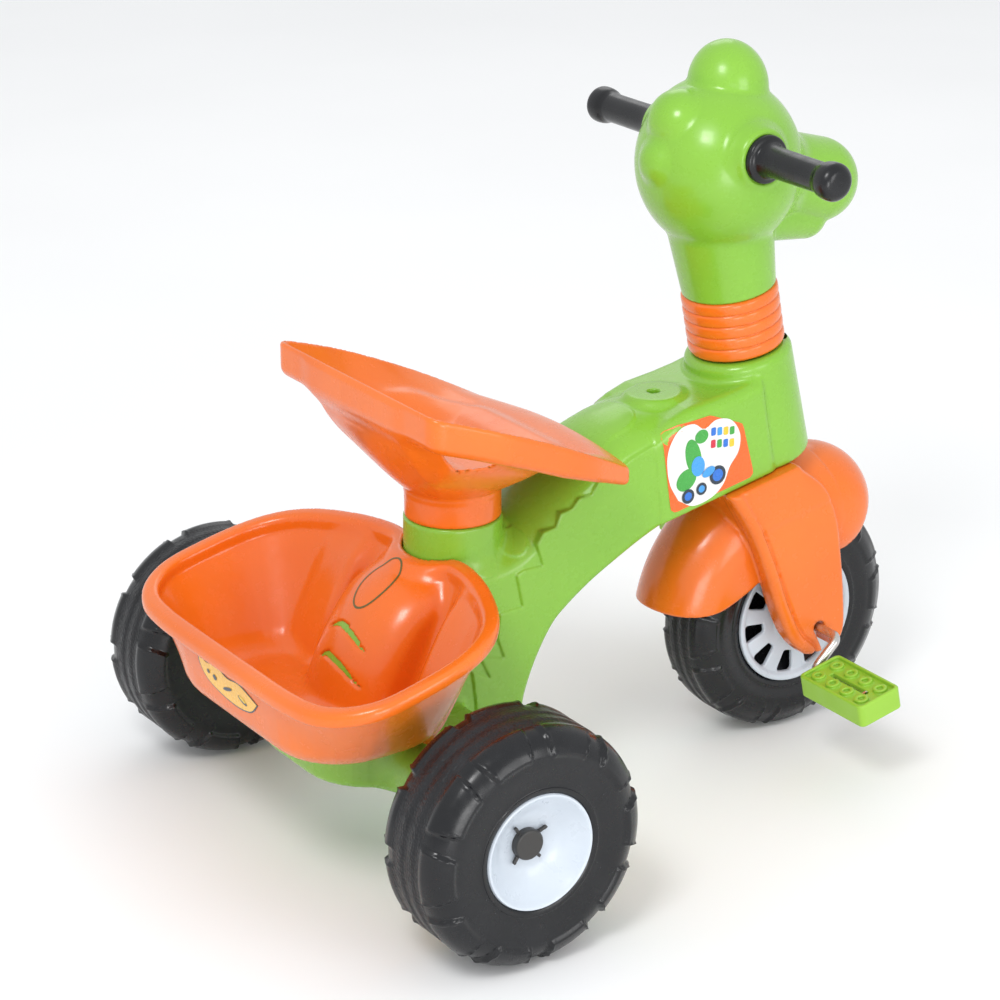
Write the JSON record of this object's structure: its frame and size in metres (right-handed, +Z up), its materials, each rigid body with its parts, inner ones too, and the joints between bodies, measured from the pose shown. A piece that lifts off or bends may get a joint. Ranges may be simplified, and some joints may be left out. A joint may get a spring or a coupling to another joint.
{
  "type": "children's tricycle",
  "caption": "Child's pedal tricycle: arched plastic frame, winged seat, rear tub basket, fork with mudguard and an animal-head column with a handlebar",
  "frame": {"origin": "on the ground, under the middle of the tricycle's overall box", "axes": "+X forwards, along the longest side; +Y to the rider's left; +Z up"},
  "size_m": [0.672, 0.541, 0.6298],
  "materials": {
    "decal": "printed vinyl sticker",
    "green_plastic": "smooth blow-moulded polyethylene, glossy",
    "grip_black": "moulded black grip, satin",
    "nylon": "natural nylon bush",
    "orange_plastic": "smooth moulded polyethylene, glossy",
    "steel": "zinc-plated mild steel",
    "tyre_black": "blow-moulded black plastic tyre, satin",
    "white_plastic": "white moulded plastic",
    "yellow_decal": "printed vinyl sticker"
  },
  "bodies": {
    "frame": {"frame_shell": "green_plastic", "steering_bush_lower": "nylon", "steering_bush_upper": "nylon", "seat": "orange_plastic", "seat_screws": "steel", "basket": "orange_plastic", "basket_screws": "steel", "basket_decal": "yellow_decal", "frame_decal_left": "decal", "frame_decal_right": "decal", "rear_axle": "steel", "axle_bush_left": "nylon", "axle_bush_right": "nylon", "rear_washers": "steel", "axle_push_nuts": "steel"},
    "steering": {"fork": "orange_plastic", "rear_mudguard": "orange_plastic", "fork_bolt": "steel", "fork_nut": "steel", "thrust_washer": "nylon", "steering_tube": "steel", "neck_collar": "orange_plastic", "head_shell": "green_plastic", "handlebar": "steel", "handlebar_screw": "steel", "grip_left": "grip_black", "grip_right": "grip_black", "front_bush_left": "orange_plastic", "front_bush_right": "orange_plastic", "front_bush_screws": "steel", "eye_left": "white_plastic", "eye_right": "white_plastic"},
    "front_wheel": {"front_tyre": "tyre_black", "front_rim_left": "white_plastic", "front_rim_right": "white_plastic", "crank_axle": "steel", "drive_pin": "steel", "spindle_clips": "steel"},
    "left_pedal": {"pedal_left": "green_plastic"},
    "right_pedal": {"pedal_right": "green_plastic"},
    "rear_wheel_left": {"rear_tyre_left": "tyre_black", "rear_dish_left": "white_plastic", "rear_bush_left": "nylon", "rear_cap_left": "tyre_black"},
    "rear_wheel_right": {"rear_tyre_right": "tyre_black", "rear_dish_right": "white_plastic", "rear_bush_right": "nylon", "rear_cap_right": "tyre_black"}
  },
  "joints": [
    {"name": "steer", "type": "hinge", "parent": "frame", "child": "steering", "pos_m": [0.227, 0, 0.109], "axis": [-0.1925, 0, 0.9813], "range_deg": [-40, 40]},
    {"name": "front_wheel_spin", "type": "hinge", "parent": "steering", "child": "front_wheel", "pos_m": [0.227, 0, 0.109], "axis": [0, 1, 0], "continuous": true},
    {"name": "left_pedal_spin", "type": "hinge", "parent": "front_wheel", "child": "left_pedal", "pos_m": [0.25406, 0, 0.13423], "axis": [0, 1, 0], "continuous": true},
    {"name": "right_pedal_spin", "type": "hinge", "parent": "front_wheel", "child": "right_pedal", "pos_m": [0.19994, 0, 0.08377], "axis": [0, 1, 0], "continuous": true},
    {"name": "rear_wheel_left_spin", "type": "hinge", "parent": "frame", "child": "rear_wheel_left", "pos_m": [-0.208, 0, 0.1], "axis": [0, 1, 0], "continuous": true},
    {"name": "rear_wheel_right_spin", "type": "hinge", "parent": "frame", "child": "rear_wheel_right", "pos_m": [-0.208, 0, 0.1], "axis": [0, 1, 0], "continuous": true}
  ]
}
